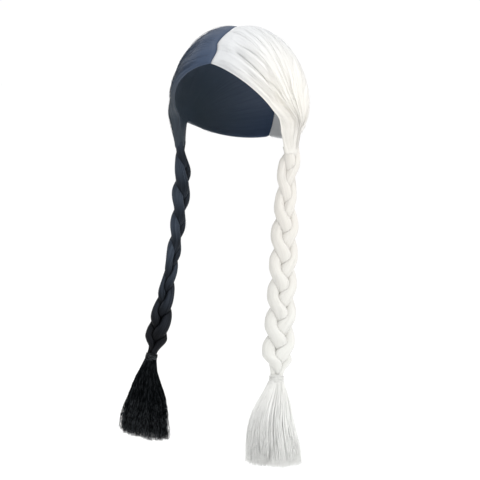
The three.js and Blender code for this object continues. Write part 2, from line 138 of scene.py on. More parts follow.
WHITE = {
    "name": "white",
    "side": 1,
    "root_width": 26,
    "root_thickness": 15,
    "plait_width": 36,
    "plait_thickness": 27,
    "plait_outward": 17,
    "facing": (50, 45),
    "lobes": 7.68,
    "slant": 0.12,
    "lateness": 13,
    "first_lobe": 0.06,
    "press": 1.5,
    "groove_shade": 0,
    "tip_light_and_shade": 0,
    "relief": 0.25,
    "girth": [0.62, 0.74, 0.72, 0.97, 1, 1.1],
    "tie_radius": 9,
    "tuft_width": 71,
    "tuft_fullness": 0.75,
    "tuft_sway": -4,
    "tuft_pull": 0.15,
    # Painted shade on the tuft beside its furrow.
    "tuft_painted_shade": 0.14,
    "tuft_fray": 0.035,
    "tuft_wave": 0.015,
    "furrow": 0.2,
}

# Fineness of the meshes.
FLOW_COLUMNS, INNER_COLUMNS, FLOW_ROWS, EDGE_POINTS = 640, 110, 88, 5
STRAND_SIDES, STATIONS_PER_LOBE = 72, 28
THREAD_TURNS, THREAD_POINTS, THREAD_SIDES = 9, 48, 8
CORE_SIDES, CORE_ROWS = 64, 24
HAIR_SIDES = 3

# Single hairs: how many on a half, on a strand and in a tuft, and in how many clumps there, their
# stations, and their radii in mm.
LAID_HAIRS, STRAND_HAIRS, TUFT_HAIRS, TUFT_CLUMPS = 520, 50, 3400, 110
LAID_STATIONS, STRAND_STATIONS, TUFT_STATIONS = 13, 9, 10
LAID_RADIUS, STRAND_RADIUS, TUFT_RADIUS = 0.11, 0.1, 0.26

# The flow over a half lies closer together at the face: its columns follow this power.
COLUMN_POWER = 1.5


def smoothstep(value, low, high):
    t = np.clip((value - low) / (high - low), 0, 1)
    return t * t * (3 - 2 * t)


def lerp(a, b, t):
    return a + (b - a) * t


def unit(v):
    return v / np.linalg.norm(v, axis=-1, keepdims=True)


def table_value(places, values, at):
    """Value at a place in a table, with smooth steps between its rows."""
    places, values = np.array(places, float), np.array(values, float)
    i = np.clip(np.searchsorted(places, at, side="right"), 1, len(places) - 1)
    return lerp(values[i - 1], values[i], smoothstep(at, places[i - 1], places[i]))


# Noise repeats after so many units.
NOISE_CELLS = 256


def noise(x, y, seed):
    """Smooth noise from -1 to 1 over two coordinates, one random value a unit."""
    values = np.random.default_rng(seed).uniform(-1, 1, (NOISE_CELLS, NOISE_CELLS))
    ix, iy = np.floor(x).astype(int), np.floor(y).astype(int)
    fx, fy = smoothstep(x - ix, 0, 1), smoothstep(y - iy, 0, 1)
    left, right = ix % NOISE_CELLS, (ix + 1) % NOISE_CELLS
    bottom, top = iy % NOISE_CELLS, (iy + 1) % NOISE_CELLS
    low = lerp(values[left, bottom], values[right, bottom], fx)
    high = lerp(values[left, top], values[right, top], fx)
    return lerp(low, high, fy)


# Meshes.


# Keeps a vector without length from being divided by nothing.
TINY = 1e-12

# A direction that few hairs follow, by which their corners are set.
SIDE_GUIDE = np.array([0.31, 0.77, 0.12])


def grid_normals(points):
    """Unit normals of a grid of points."""
    across = np.gradient(points, axis=1)
    along = np.gradient(points, axis=0)
    return unit(np.cross(across, along) + TINY)


def ring_part(points, uv, shade=1.0):
    """Part out of rings of points (ring, point, xyz), with a face at each end."""
    rows, count = points.shape[:2]
    ring = np.arange(count)
    after = (ring + 1) % count
    row = np.arange(rows - 1)[:, None] * count
    quads = np.stack([row + ring, row + after, row + count + after, row + count + ring], -1)
    return {
        "points": points.reshape(-1, 3),
        "quads": quads.reshape(-1, 4),
        "odd": [ring[::-1], (rows - 1) * count + ring],
        "uv": uv.reshape(-1, 2),
        "shade": (shade * np.ones((rows, count))).ravel(),
    }


def hair_part(paths, radii, tones, lengths, shade=1.0):
    """Part out of closed hairs along paths (hair, station, xyz), each with its own tone."""
    hairs, stations = paths.shape[:2]
    tangent = unit(np.gradient(paths, axis=1) + TINY)
    side = unit(np.cross(tangent, SIDE_GUIDE) + TINY)
    up = np.cross(side, tangent)
    turns = 2 * np.pi * np.arange(HAIR_SIDES) / HAIR_SIDES
    ring = (
        paths[:, :, None]
        + radii[:, :, None, None] * np.cos(turns)[:, None] * side[:, :, None]
        + radii[:, :, None, None] * np.sin(turns)[:, None] * up[:, :, None]
    )
    base = np.arange(hairs)[:, None] * stations + np.arange(stations - 1)
    base = base[..., None] * HAIR_SIDES
    corner = np.arange(HAIR_SIDES)
    after = (corner + 1) % HAIR_SIDES
    above = base + HAIR_SIDES
    quads = np.stack([base + corner, base + after, above + after, above + corner], -1)
    first = np.arange(hairs)[:, None] * stations * HAIR_SIDES
    last = first + (stations - 1) * HAIR_SIDES
    ends = np.concatenate([first + corner[::-1], last + corner])
    place = [np.repeat(tones, stations * HAIR_SIDES), np.repeat(lengths.ravel(), HAIR_SIDES)]
    return {
        "points": ring.reshape(-1, 3),
        "quads": quads.reshape(-1, 4),
        "odd": list(ends),
        "uv": np.stack(place, -1),
        "shade": np.repeat((shade * np.ones((hairs, stations))).ravel(), HAIR_SIDES),
    }


def merged(parts):
    """One list each of points, quads, odd polygons, uv and shade out of several parts."""
    quads, odd = [], []
    total = 0
    for part in parts:
        quads.append(part["quads"] + total)
        odd.extend([polygon + total for polygon in part["odd"]])
        total += len(part["points"])
    points, uv, shade = [
        np.concatenate([part[key] for part in parts]) for key in ("points", "uv", "shade")
    ]
    return points, np.concatenate(quads), odd, uv, shade


def new_piece(name, parts, material):
    """Mesh object from parts: points in millimetres, quads, odd polygons, uv and shade."""
    vertices, quads, odd, uv, shade = merged(parts)
    mesh = bpy.data.meshes.new(name)
    corners = [quads]
    sizes = [np.full(len(quads), 4)]
    for polygon in odd:
        corners.append(polygon.reshape(1, -1))
        sizes.append(np.array([len(polygon)]))
    loops = np.concatenate([part.ravel() for part in corners]).astype(np.int32)
    totals = np.concatenate(sizes).astype(np.int32)
    starts = np.concatenate([[0], np.cumsum(totals)[:-1]]).astype(np.int32)
    mesh.vertices.add(len(vertices))
    mesh.vertices.foreach_set("co", (vertices * MM).astype(np.float32).ravel())
    mesh.loops.add(len(loops))
    mesh.loops.foreach_set("vertex_index", loops)
    mesh.polygons.add(len(totals))
    mesh.polygons.foreach_set("loop_start", starts)
    layer = mesh.uv_layers.new(name="flow")
    layer.uv.foreach_set("vector", uv[loops].astype(np.float32).ravel())
    shades = mesh.attributes.new("shade", "FLOAT", "POINT")
    shades.data.foreach_set("value", shade.astype(np.float32))
    mesh.update(calc_edges=True)
    mesh.validate()
    mesh.polygons.foreach_set("use_smooth", np.ones(len(mesh.polygons), bool))
    mesh.materials.append(material)
    piece = bpy.data.objects.new(name, mesh)
    bpy.context.scene.collection.objects.link(piece)
    return piece


# Laid hair.


def on_head(direction, lift):
    """Point at a lift above the head form, in a direction from the middle of its widest level."""
    height = np.where(direction[..., 2] < 0, NAPE_HEIGHT, CROWN_HEIGHT)
    wide = np.full_like(height, HEAD_WIDTH / 2, dtype=float)
    long = np.full_like(height, HEAD_LENGTH / 2, dtype=float)
    axes = np.stack([wide, long, height], -1)
    point = direction * axes + unit(direction / axes) * np.asarray(lift)[..., None]
    point[..., 2] -= CROWN_HEIGHT
    return point


def between(start, end, share):
    """Unit direction part of the way round from one direction to another."""
    angle = np.arccos(np.clip((start * end).sum(-1), -1, 1))
    a = np.sin((1 - share) * angle) / np.sin(angle)
    b = np.sin(share * angle) / np.sin(angle)
    return start * a[..., None] + end * b[..., None]


def parting_direction(along):
    angle = np.radians(lerp(FOREHEAD_ANGLE, NAPE_ANGLE, along))
    sway = PARTING_SWAY * table_value(PARTING_PLACES, PARTING_SWAYS, along)
    aside = sway / (HEAD_WIDTH / 2)
    return unit(np.stack([aside, np.sin(angle), np.cos(angle)], -1))


def gather_direction(half, share):
    width = half["root_width"] * GATHER_WIDTH_SHARE
    turn = np.radians(GATHER_ROUND) + (share - 0.5) * width / (HEAD_LENGTH / 2)
    below = np.radians(GATHER_BELOW)
    x = half["side"] * np.cos(below) * np.cos(turn)
    return np.stack([x, np.cos(below) * np.sin(turn), np.full_like(turn, -np.sin(below))], -1)


def flow_direction(half, along, over):
    """Direction of the laid hair part of the way from the parting to the gather."""
    start = parting_direction(along)
    end = gather_direction(half, along**GATHER_POWER)
    rising = unit(np.cross(start, end))
    rising = rising * np.where(rising[..., 2:] < 0, -1, 1)
    rise = np.sin(np.pi * over**FRONT_SKEW) ** FRONT_FULLNESS
    share = FRONT_RISE / (HEAD_LENGTH / 2) * rise * (1 - smoothstep(along, 0, FRONT_REACH))
    return unit(between(start, end, over) + rising * share[..., None])


def root_end(half):
    middle = gather_direction(half, np.array(0.5))
    end = on_head(middle, half["root_thickness"] / 2)
    end[2] = on_head(middle, 0)[2] - ROOT_DROP
    return end


def root_end_point(half, share, outer):
    turn = (2 * share - 1) * np.radians(ROOT_ROUNDNESS)
    way_out = half["side"] * (1 if outer else -1) * np.cos(turn)
    x = way_out * half["root_thickness"] / 2
    y = np.sin(turn) * half["root_width"] / 2
    return root_end(half) + np.stack([x, y, np.zeros_like(x)], -1)


def fold_depth(half, along, way):
    depth = 0
    for fold in FOLDS:
        across = np.exp(-(((along - fold["at"]) / fold["spread"]) ** 2))
        starts = smoothstep(way, fold["start"], fold["start"] + FOLD_FADE)
        ends = 1 - smoothstep(way, fold["end"] - FOLD_FADE, fold["end"])
        depth = depth + fold[half["name"]] * HAIR_THICKNESS * across * starts * ends
    return depth


def hair_thickness(half, along, way):
    laid = lerp(PARTING_THICKNESS, HAIR_THICKNESS, smoothstep(way, 0, PARTING_SWELL))
    swollen = lerp(laid, GATHER_THICKNESS, smoothstep(way, 1 - ROOT_SWELL, 1))
    blend = smoothstep(way, 0, 1)
    share = lerp(along, along**GATHER_POWER, blend)
    power = lerp(EDGE_POWER["parting"], EDGE_POWER["root"], blend)
    across = np.sqrt(np.clip(1 - np.abs(2 * share - 1) ** power, 0, 1))
    return lerp(EDGE_THICKNESS, swollen - fold_depth(half, along, way), across)


def hair_point(half, along, way, outer, lift=0.0):
    """Point on the outer or inner side of a half, as in the solids, with a lift added."""
    turning = np.clip(way - TURN_AT + TURN_SOFTNESS, 0, 2 * TURN_SOFTNESS)
    hung = turning**2 / (4 * TURN_SOFTNESS) + np.maximum(way - TURN_AT - TURN_SOFTNESS, 0)
    over = np.minimum((way - hung) / TURN_AT, 1)
    share = along**GATHER_POWER
    direction = flow_direction(half, along, over)
    height = np.zeros_like(along)
    if outer:
        dip = lerp(PARTING_DIP, 1, np.sqrt(smoothstep(way, 0, PARTING_DIP_WIDTH)))
        height = hair_thickness(half, along, over) * dip
    laid = on_head(direction, height + lift)
    return lerp(laid, root_end_point(half, share, outer), (hung / (1 - TURN_AT))[..., None])


# Relief of the laid hair: how many locks across a half and along it, and their height in mm.
RELIEF = [
    {"across": 16, "along": 2.2, "height": 0.4},
    {"across": 44, "along": 3, "height": 0.2},
    {"across": 120, "along": 5, "height": 0.1},
    {"across": 260, "along": 8, "height": 0.06},
]

# How many of its own widths a lock wanders aside, and how much coarser across the half and finer
# along it the wandering is than the locks.
WANDER, WANDER_COARSER, WANDER_FINER, WANDER_SEED = 0.8, 5, 1.3, 50

# The relief keeps this share where the columns lie close and at the parting, from which it grows
# over a share of the way. It fades at the face and the nape over a share of the columns.
LEAST_RELIEF, RELIEF_GROWS, EDGE_FADE = 0.3, 0.06, 0.012

# Columns that show which way the edges at the face and at the nape round off.
FACE_BESIDE, NAPE_BESIDE = 6, -12

# Sharp creases between locks: where each starts and ends from face to nape and on the way from
# the parting to the gather, its half-width as a share, and its depth in mm.
CREASES = [
    {"from": (0.124, 0.16), "to": (0.15, 0.42), "width": 0.0045, "dark": 0.2, "white": 1.1},
    {"from": (0.09, 0.19), "to": (0.088, 0.62), "width": 0.004, "dark": 0.4, "white": 1.3},
    {"from": (0.088, 0.55), "to": (0.17, 0.98), "width": 0.007, "dark": 0.4, "white": 1.0},
    {"from": (0.027, 0.36), "to": (0.03, 0.5), "width": 0.003, "dark": 0.1, "white": 0.6},
    {"from": (0.05, 0.4), "to": (0.05, 0.9), "width": 0.004, "dark": 0.3, "white": 0.35},
    {"from": (0.25, 0.45), "to": (0.3, 0.97), "width": 0.008, "dark": 0.5, "white": 0.6},
    {"from": (0.42, 0.6), "to": (0.45, 1), "width": 0.012, "dark": 0.6, "white": 0.7},
    {"from": (0.6, 0.55), "to": (0.58, 1), "width": 0.014, "dark": 0.6, "white": 0.7},
    {"from": (0.78, 0.3), "to": (0.74, 0.9), "width": 0.01, "dark": 0.6, "white": 0.6},
]
CREASE_FADE = 0.07

# The swell beside a crease: its height as a share of the crease's depth, then its place and
# half-width in half-widths of the crease.
SWELL_HEIGHT, SWELL_AT, SWELL_WIDTH = 0.4, -2.2, 2


def crease_height(half, along, over):
    """Height of the creases in mm: a sharp groove with a low swell beside it."""
    height = 0
    for crease in CREASES:
        (first, start), (last, end) = crease["from"], crease["to"]
        path = lerp(first, last, np.clip((over - start) / (end - start), 0, 1))
        beside = (along - path) / crease["width"]
        reach = smoothstep(over, start, start + CREASE_FADE)
        reach = reach * (1 - smoothstep(over, end - CREASE_FADE, end))
        swell = SWELL_HEIGHT * np.exp(-(((beside - SWELL_AT) / SWELL_WIDTH) ** 2))
        profile = swell - np.exp(-(beside**2))
        height = height + crease[half["name"]] * profile * reach
    return height


def flow_relief(columns, way, seed):
    """Height of locks and strands of the laid hair, before it is fitted to their width."""
    height = 0
    for i, row in enumerate(RELIEF):
        x, y = columns * row["across"], way * row["along"]
        aside = noise(x / WANDER_COARSER, y * WANDER_FINER, seed + WANDER_SEED + i)
        height = height + row["height"] * noise(x + WANDER * aside, y, seed + i)
    return height


def outer_side(half, seed):
    """Outer side of a half with creases and relief: its grid of points, uv and painted shade."""
    column = np.linspace(0, 1, FLOW_COLUMNS)
    way = np.linspace(0, 1, FLOW_ROWS)
    along = np.broadcast_to(column**COLUMN_POWER, (FLOW_ROWS, FLOW_COLUMNS))
    ways = np.broadcast_to(way[:, None], along.shape)
    columns = np.broadcast_to(column, along.shape)
    points = hair_point(half, along, ways, True)
    normal = grid_normals(points)
    middle = points.reshape(-1, 3).mean(0)
    if ((points - middle) * normal).sum() < 0:
        normal = -normal
    spacing = np.linalg.norm(np.gradient(points, axis=1), axis=-1)
    fitted = np.clip(spacing / (FLOW_WIDTH / FLOW_COLUMNS), LEAST_RELIEF, 1)
    edge = smoothstep(columns, 0, EDGE_FADE) * (1 - smoothstep(columns, 1 - EDGE_FADE, 1))
    relief = half["relief"] * flow_relief(columns, ways, seed) * fitted * edge
    relief = relief * lerp(LEAST_RELIEF, 1, smoothstep(ways, 0, RELIEF_GROWS))
    creases = crease_height(half, along, ways / TURN_AT)
    # Painted shade in the creases and in the low places of the relief.
    shade = 1 + CREASE_SHADE * np.clip(creases, -1, 0) + RELIEF_SHADE * np.clip(relief, -1, 0)
    uv = np.stack([columns * FLOW_WIDTH, ways * FLOW_LENGTH], -1)
    return points + normal * (relief + creases)[..., None], uv, shade


def inner_side(half):
    """Plain inner side of a half: its grid of points and uv."""
    column = np.linspace(0, 1, INNER_COLUMNS)
    along = np.broadcast_to(column**COLUMN_POWER, (FLOW_ROWS, INNER_COLUMNS))
    ways = np.broadcast_to(np.linspace(0, 1, FLOW_ROWS)[:, None], along.shape)
    uv = np.stack([column * FLOW_WIDTH * np.ones((FLOW_ROWS, 1)), ways * FLOW_LENGTH], -1)
    return hair_point(half, along, ways, False), uv


def round_edge(outer, inner, outer_uv, last):
    """Half-round edge from one side to the other, at the last or the first column."""
    at, beside = (-1, NAPE_BESIDE) if last else (0, FACE_BESIDE)
    top, bottom = outer[:, at], inner[:, at]
    centre, reach = (top + bottom) / 2, (top - bottom) / 2
    away = top - outer[:, beside]
    away = away - reach * ((away * reach).sum(-1) / (reach * reach).sum(-1))[:, None]
    away = unit(away) * np.linalg.norm(reach, axis=-1)[:, None]
    turn = np.pi * (np.arange(EDGE_POINTS) + 1) / (EDGE_POINTS + 1)
    angles = turn if last else turn[::-1]
    points = (
        centre[:, None]
        + reach[:, None] * np.cos(angles)[:, None]
        + away[:, None] * np.sin(angles)[:, None]
    )
    uv = outer_uv[:, at, None] + np.stack([angles, np.zeros(EDGE_POINTS)], -1)
    return points, uv


def hair_half(half, seed):
    """The laid hair of one half: outer side with relief, round edges, plainer inner side."""
    outer, outer_uv, outer_shade = outer_side(half, seed)
    inner, inner_uv = inner_side(half)
    face_edge, face_uv = round_edge(outer, inner, outer_uv, False)
    nape_edge, nape_uv = round_edge(outer, inner, outer_uv, True)
    ring = np.concatenate([outer, nape_edge, inner[:, ::-1], face_edge], 1)
    uv = np.concatenate([outer_uv, nape_uv, inner_uv[:, ::-1], face_uv], 1)
    # Painted shade: the creases and relief of the outer side, and the root darker than the rest.
    shade = np.ones((FLOW_ROWS + len(TONGUE_SHARES), ring.shape[1]))
    shade[:FLOW_ROWS, :FLOW_COLUMNS] = outer_shade
    darker = smoothstep(np.linspace(0, 1, FLOW_ROWS), *ROOT_DARKENS)
    shade[:FLOW_ROWS] *= 1 - ROOT_SHADE * darker[:, None]
    shade[FLOW_ROWS:] *= 1 - ROOT_SHADE
    # The root's end is drawn in to a round tongue.
    centre = ring[-1].mean(0)
    close, close_uv = [], []
    for share in TONGUE_SHARES:
        drawn = lerp(ring[-1], centre, share**TONGUE_POWER)
        close.append(drawn + np.array([0, 0, -ROOT_TONGUE * share]))
        close_uv.append(uv[-1] + np.array([0, ROOT_TONGUE * share]))
    ring = np.concatenate([ring, np.stack(close)])
    uv = np.concatenate([uv, np.stack(close_uv)])
    return ring_part(ring, uv, shade)


# Single hairs on a half, in shares of the way and of the columns, with heights in mm. The rise is
# drawn from a gamma distribution, by its shape and scale, here and in STRAND_HAIR.
LAID_HAIR = {
    "starts": (0, 0.75),
    "reaches": (0.12, 0.4),
    "way_end": 0.995,
    "columns": (0.004, 0.996),
    "margin": 0.0005,
    "sway": 0.012,
    "sways": (0.6, 1.6),
    "height": 0.12,
    "rise": (1.3, 0.35),
    "rise_power": 1.2,
    "sink": 0.8,
    "sinks_over": 0.15,
    "blunt": 0.06,
}


def laid_hairs(half, seed):
    """Single hairs that lie on a half and stand a little off it."""
    own = LAID_HAIR
    rng = np.random.default_rng(seed)
    start = rng.uniform(*own["starts"], LAID_HAIRS)
    length = rng.uniform(*own["reaches"], LAID_HAIRS)
    t = np.linspace(0, 1, LAID_STATIONS)
    way = np.clip(start[:, None] + length[:, None] * t, 0, own["way_end"])
    column = rng.uniform(*own["columns"], LAID_HAIRS)
    aside = rng.normal(0, own["sway"], LAID_HAIRS)[:, None]
    drift = aside * np.sin(np.pi * t * rng.uniform(*own["sways"], (LAID_HAIRS, 1)))
    column = np.clip(column[:, None] + drift, own["margin"], 1 - own["margin"])
    bow = np.sin(np.pi * t) ** own["rise_power"]
    rise = rng.gamma(*own["rise"], LAID_HAIRS)[:, None] * bow
    out_of_hair = smoothstep(t, 0, own["sinks_over"]) - smoothstep(t, 1 - own["sinks_over"], 1)
    lift = own["height"] + rise - own["sink"] * (1 - out_of_hair)
    paths = hair_point(half, column**COLUMN_POWER, way, True, lift)
    taper = np.sqrt(np.clip(np.sin(np.pi * lerp(own["blunt"], 1 - own["blunt"], t)), 0, 1))
    radii = LAID_RADIUS * taper * np.ones((LAID_HAIRS, 1))
    tones = rng.uniform(0, FLOW_WIDTH, LAID_HAIRS)
    return hair_part(paths, radii, tones, way * FLOW_LENGTH)


# Plait.


def plait_middle(half, down):
    bent = np.clip(down, 0, None) ** PLAIT_BEND
    inward = PLAIT_INWARD * smoothstep(down, 0, PLAIT_INWARD_BY)
    x = half["side"] * (half["plait_outward"] * bent - inward)
    return root_end(half) + np.stack([x, -PLAIT_FORWARD * bent, -(GAP + PLAIT_DROP * down)], -1)


def hanging_frame(middle, tangent, facing):
    turn = np.radians(facing)
    out = np.stack([np.sin(turn), -np.cos(turn), np.zeros_like(turn)], -1)
    out = unit(out - tangent * (out * tangent).sum(-1, keepdims=True))
    return {"middle": middle, "tangent": tangent, "across": np.cross(tangent, out), "out": out}


def frame_point(at, x, y):
    return (
        at["middle"][..., None, :]
        + at["across"][..., None, :] * x[..., None]
        + at["out"][..., None, :] * y[..., None]
    )


def plait_frame(half, down):
    step = 1e-3
    above = plait_middle(half, np.maximum(down - step, 0))
    tangent = unit(plait_middle(half, down + step) - above)
    tangent = np.where((down > 0)[..., None], tangent, np.array([0.0, 0, -1]))
    turned = smoothstep(down, *PLAIT_TURN)
    facing = lerp(*half["facing"], turned)
    return hanging_frame(plait_middle(half, down), tangent, facing)


def bound_radius(half):
    """Radius of the hair under the tie, into which the thread is sunk by half."""
    return half["tie_radius"] - TIE_THREAD


def plait_girth(half, down):
    free = table_value(GIRTH_PLACES, half["girth"], down)
    bound = bound_radius(half) / (half["plait_width"] / 2)
    return lerp(free, bound, smoothstep(down, TIE_START - PLAIT_TAPER, TIE_START))


def strand_phase(half, strand, down):
    """How far a strand has gone round the figure eight that it follows, in radians."""
    passed = half["lobes"] * (down + PLAIT_TIGHTENING * down * (down - 1))
    return 2 * np.pi / 3 * (passed + strand + half["first_lobe"])


def strand_middle(half, strand, down):
    sideways = half["plait_width"] * STRAND_REACH_SHARE
    in_depth = half["plait_thickness"] * (0.5 - STRAND_DEPTH_SHARE)
    phase = strand_phase(half, strand, down)
    girth = plait_girth(half, down)
    across = np.sin(phase) - half["slant"] * np.sin(3 * phase)
    front = -np.sin(2 * (phase - np.radians(half["lateness"])))
    return np.stack([sideways * across * girth, in_depth * front * girth], -1)


# How sharply a strand's section turns from one side to the next.
SECTION_POWER = 7

# Where on its way round a strand comes out on top and is painted lightest, in degrees: above and
# below the plait's turn.
EMERGES_AT = (60, 100)

# Painted shade: a strand darkens from where it reaches this share of the way to the middle between
# it and a neighbour.
GROOVE_BEGINS = 0.4

# Fibre relief of a strand: how many round it and in each crossing, and height in mm.
STRAND_RELIEF = [
    {"across": 9, "along": 0.9, "height": 0.34},
    {"across": 24, "along": 1.4, "height": 0.2},
]


def strand_surface(half, strand, down, turns, seed, lift=0.0):
    """Points of a strand's surface at shares down the plait and turns round the strand, with its
    painted shade and light.
    """
    girth = plait_girth(half, down)[:, None]
    own = strand_middle(half, strand, down)
    way = np.stack([np.cos(turns), np.sin(turns)], -1)
    half_width = half["plait_width"] * STRAND_WIDTH_SHARE * girth
    half_depth = half["plait_thickness"] * STRAND_DEPTH_SHARE * girth
    flatness = np.hypot(way[..., 0] / half_width, way[..., 1] / half_depth)
    along = (own[:, None] * way).sum(-1)
    round_radius = half["plait_width"] / 2 * girth
    in_round = np.sqrt(along**2 + round_radius**2 - (own**2).sum(-1)[:, None]) - along
    closeness = flatness**SECTION_POWER + (1 / in_round) ** SECTION_POWER
    nearest = np.zeros_like(closeness)
    for other in (1, 2):
        apart = strand_middle(half, strand + other, down) - own
        far = np.linalg.norm(apart, axis=-1)[:, None]
        facing = np.clip((way * (apart / far)[:, None]).sum(-1), 0, None)
        towards = facing / (far / 2 + half["press"])
        closeness = closeness + towards**SECTION_POWER
        nearest = np.maximum(nearest, towards)
    reach = closeness ** (-1 / SECTION_POWER)
    # Painted shade in the grooves, and painted light where a strand comes out on top, with painted
    # shade on the far side of its turn.
    emerged = np.radians(lerp(*EMERGES_AT, smoothstep(down, *PLAIT_TURN)))
    tip = np.cos(2 * (strand_phase(half, strand, down) - emerged))[:, None]
    shade = 1 - half["groove_shade"] * smoothstep(nearest * reach, GROOVE_BEGINS, 1)
    shade = shade * (1 + half["tip_light_and_shade"] * tip)
    around = turns / (2 * np.pi) * np.ones_like(reach)
    length = (down * half["lobes"])[:, None] * np.ones_like(reach)
    for i, row in enumerate(STRAND_RELIEF):
        x, y = around * row["across"], length * row["along"]
        before, after = noise(x, y, seed + i), noise(x - row["across"], y, seed + i)
        reach = reach + row["height"] * lerp(before, after, smoothstep(around, 0, 1))
    reach = reach + lift
    at = plait_frame(half, down)
    x = own[:, :1] + way[..., 0] * reach
    y = own[:, 1:] + way[..., 1] * reach
    return frame_point(at, x, y), shade


def plait_strand(half, strand, seed):
    """A strand of the plait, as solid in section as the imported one, with its fibre relief."""
    count = round(half["lobes"] * STATIONS_PER_LOBE)
    down = np.concatenate([np.linspace(-STRAND_IN_ROOT, TIE_START, count), [1]])
    turns = 2 * np.pi * np.arange(STRAND_SIDES) / STRAND_SIDES
    points, shade = strand_surface(half, strand, down, turns[None], seed)
    around = turns[None] / (2 * np.pi) * STRAND_FIBRES
    uv = np.stack(np.broadcast_arrays(around, (down * PLAIT_DROP)[:, None]), -1)
    return ring_part(points, uv, shade)


# Single hairs on a strand, in shares of the plait, with the turn in radians and heights in mm.
STRAND_HAIR = {
    "seed": 9,
    "starts": (0, 0.9),
    "reaches": (0.03, 0.09),
    "turn": 0.3,
    "rise": (1.2, 0.5),
    "rise_power": 1.5,
    "depth": 0.2,
    "taper": 0.85,
}


def strand_hairs(half, strand, seed):
    """Single hairs that come a little off a strand."""
    own = STRAND_HAIR
    rng = np.random.default_rng(seed + own["seed"])
    t = np.linspace(0, 1, STRAND_STATIONS)
    start = rng.uniform(*own["starts"], STRAND_HAIRS)
    length = rng.uniform(*own["reaches"], STRAND_HAIRS)
    down = np.clip(start[:, None] + length[:, None] * t, 0, TIE_START)
    turn = rng.uniform(0, 2 * np.pi, STRAND_HAIRS)[:, None]
    turn = turn + own["turn"] * rng.normal(0, 1, (STRAND_HAIRS, 1)) * t
    rise = rng.gamma(*own["rise"], STRAND_HAIRS)[:, None] * t ** own["rise_power"]
    lift = rise - own["depth"]
    paths = []
    for shares, turns, lifts in zip(down, turn[..., None], lift[..., None]):
        points, _ = strand_surface(half, strand, shares, turns, seed, lifts)
        paths.append(points[:, 0])
    radii = STRAND_RADIUS * np.sqrt(1 - own["taper"] * t) * np.ones((STRAND_HAIRS, 1))
    tones = rng.uniform(0, STRAND_FIBRES, STRAND_HAIRS)
    return hair_part(np.stack(paths), radii, tones, down * PLAIT_DROP)


# Tie.


# How the thread lies, in mm but for shares: how far it is wider than its turns lie apart, how
# unevenly it lies and how often a turn, how the tie swells round it and narrows at its two ends,
# and how deep the thread's ends go in, over a share of its length.
THREAD = {
    "overlap": 1.04,
    "uneven": 0.4,
    "uneven_a_turn": 3,
    "swell": 0.25,
    "swells": 2,
    "swell_centre": 9,
    "narrows": 0.5,
    "end_depth": 1.5,
    "end_share": 0.02,
}


def wound_tie(half, seed):
    """Thread wound unevenly round the end of the plait."""
    at = plait_frame(half, np.array(1.0))
    middle = at["middle"] + at["tangent"] * GAP / 2
    thread = TIE_HEIGHT / THREAD_TURNS / 2 * THREAD["overlap"]
    t = np.linspace(0, 1, THREAD_TURNS * THREAD_POINTS + 1)
    turn = 2 * np.pi * THREAD_TURNS * t
    passed = t * THREAD_TURNS * THREAD["uneven_a_turn"]
    uneven = THREAD["uneven"] * noise(passed, np.zeros_like(t), seed)
    share = THREAD["end_share"]
    shown = np.minimum(smoothstep(t, 0, share), 1 - smoothstep(t, 1 - share, 1))
    x = THREAD["swells"] * np.cos(turn) + THREAD["swell_centre"]
    y = THREAD["swells"] * np.sin(turn) + THREAD["swell_centre"]
    swell = THREAD["swell"] * noise(x, y, seed + 1)
    swell = swell - THREAD["narrows"] * np.abs(2 * t - 1) ** 3
    radius = half["tie_radius"] - thread + uneven / 2 + swell - THREAD["end_depth"] * (1 - shown)
    height = (TIE_HEIGHT - 2 * thread) * (t - 0.5) + uneven
    centre = (
        middle
        + at["across"] * (radius * np.cos(turn))[:, None]
        + at["out"] * (radius * np.sin(turn))[:, None]
        + at["tangent"] * height[:, None]
    )
    outward = at["across"] * np.cos(turn)[:, None] + at["out"] * np.sin(turn)[:, None]
    sides = 2 * np.pi * np.arange(THREAD_SIDES) / THREAD_SIDES
    points = (
        centre[:, None]
        + thread * np.cos(sides)[:, None] * outward[:, None]
        + thread * np.sin(sides)[:, None] * at["tangent"]
    )
    around = sides / (2 * np.pi) * THREAD_FIBRES
    length = (turn * half["tie_radius"])[:, None]
    return ring_part(points, np.stack(np.broadcast_arrays(around, length), -1))


# Tuft.


# The cut ends slant by this share of the tuft's length from its middle to each side.
CUT_SLANT = 0.037

# Loose hairs, in shares of the tuft's half-width and length: how far clumps stray, how hairs crowd
# outward, how short clumps and hairs may be, where clumps gather and open again, how straying and
# fraying grow on the way down, how often a hair waves and how deep, and its thickness.
TUFT_HAIR = {
    "stray": 0.08,
    "outward_power": 0.4,
    "station_power": 0.85,
    "short_clump": 0.015,
    "short_hair": 0.03,
    "gathers": (0.1, 0.75),
    "opens": (0.8, 1),
    "opens_by": 0.35,
    "stray_power": 1.5,
    "fray_power": 2.5,
    "waves": (1, 3.5),
    "wave_deep": 0.4,
    "packing": 0.98,
    "taper": 0.6,
    "thickness": (0.75, 1.2),
}

# A furrow crosses the front of the tuft at a slant: how fast it moves aside, where it is in the
# middle, its half-width, how much painted shade darkens it, and its centre in half-widths. It
# starts and the hair beside it is darkened with painted shade over shares of the length, and the
# front begins in mid-depth.
FURROW = {
    "across": 1.32,
    "at": 0.57,
    "width": 0.14,
    "shade": 0.9,
    "centre": -0.8,
    "sinks": (0.4, 0.85),
    "dims": (0.2, 0.5),
    "dims_beside": (-1, 2),
    "front": (-0.3, 0.3),
}

# Packed core, in shares: where it ends, its width at the tie, under it and at its end, and its
# ridges, how many round it (a radian) and along it.
CORE = {
    "end": 0.9,
    "bound": 0.96,
    "neck": 0.8,
    "neck_at": (0.05, 0.15),
    "tip": 0.55,
    "ridge": 0.12,
    "ridges": (6, 2),
    "ridges_grow": (0.05, 0.4),
}


